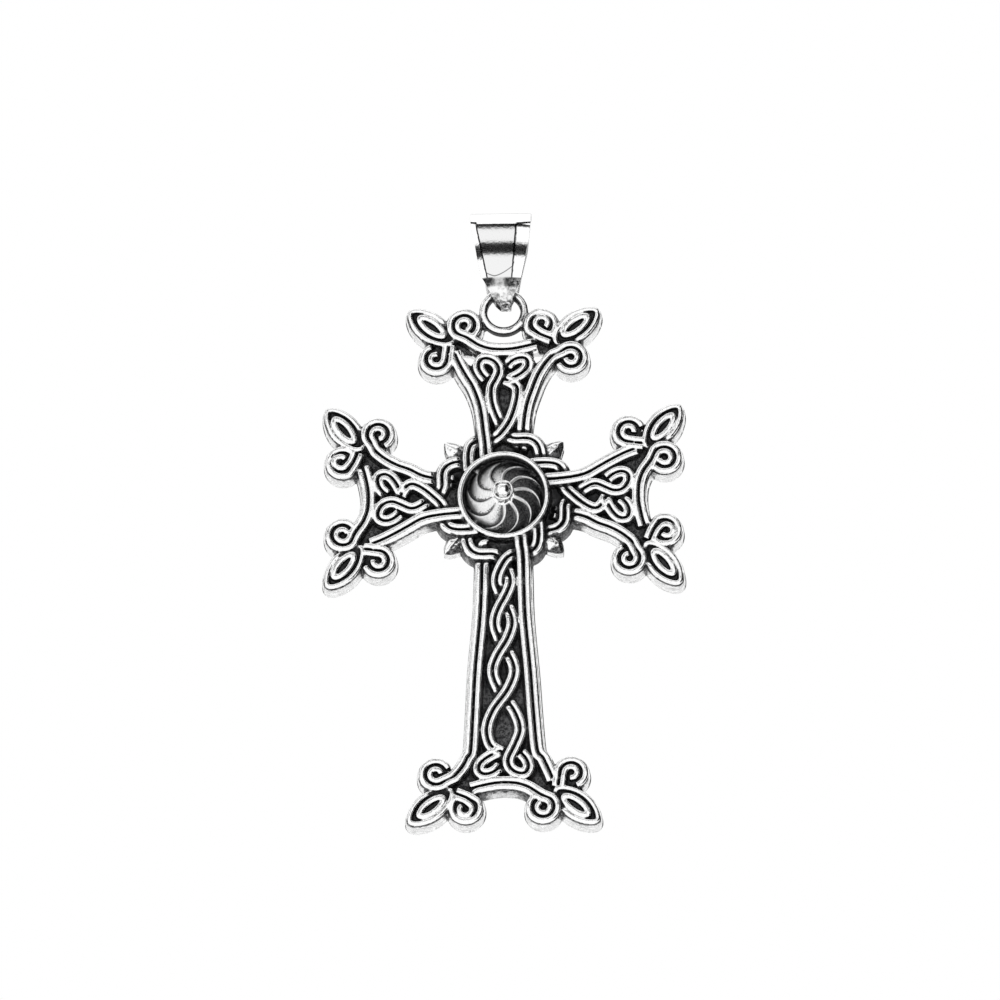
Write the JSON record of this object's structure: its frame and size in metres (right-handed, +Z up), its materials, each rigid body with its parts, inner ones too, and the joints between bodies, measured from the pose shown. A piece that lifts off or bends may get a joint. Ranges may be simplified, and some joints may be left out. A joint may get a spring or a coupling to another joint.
{
  "type": "armenian cross pendant",
  "caption": "Oxidised silver cross pendant with knotwork bands, scrolled and leafed arm ends, a wheel boss and a polished tapered bail that it swings on.",
  "frame": {"origin": "inside top of the bail, where the chain carries the pendant", "axes": "+Z up as it hangs, the face of the cross towards -Y, +X to the right as seen from the front"},
  "size_m": [0.0366, 0.0063, 0.0655],
  "materials": {
    "oxidised_silver": "bright rubbed ridges over near-black oxidised grooves and a mottled dark grey ground",
    "polished_silver": "mirror polished faces, grey and slightly pitted at the bottom"
  },
  "bodies": {
    "bail": {"bail": "polished_silver"},
    "cross": {"cross": "oxidised_silver"}
  },
  "joints": [
    {"name": "pendant_swing", "type": "hinge", "parent": "bail", "child": "cross", "pos_m": [0, 0, -0.00793], "axis": [1, 0, 0], "range_deg": [-60, 60]}
  ]
}
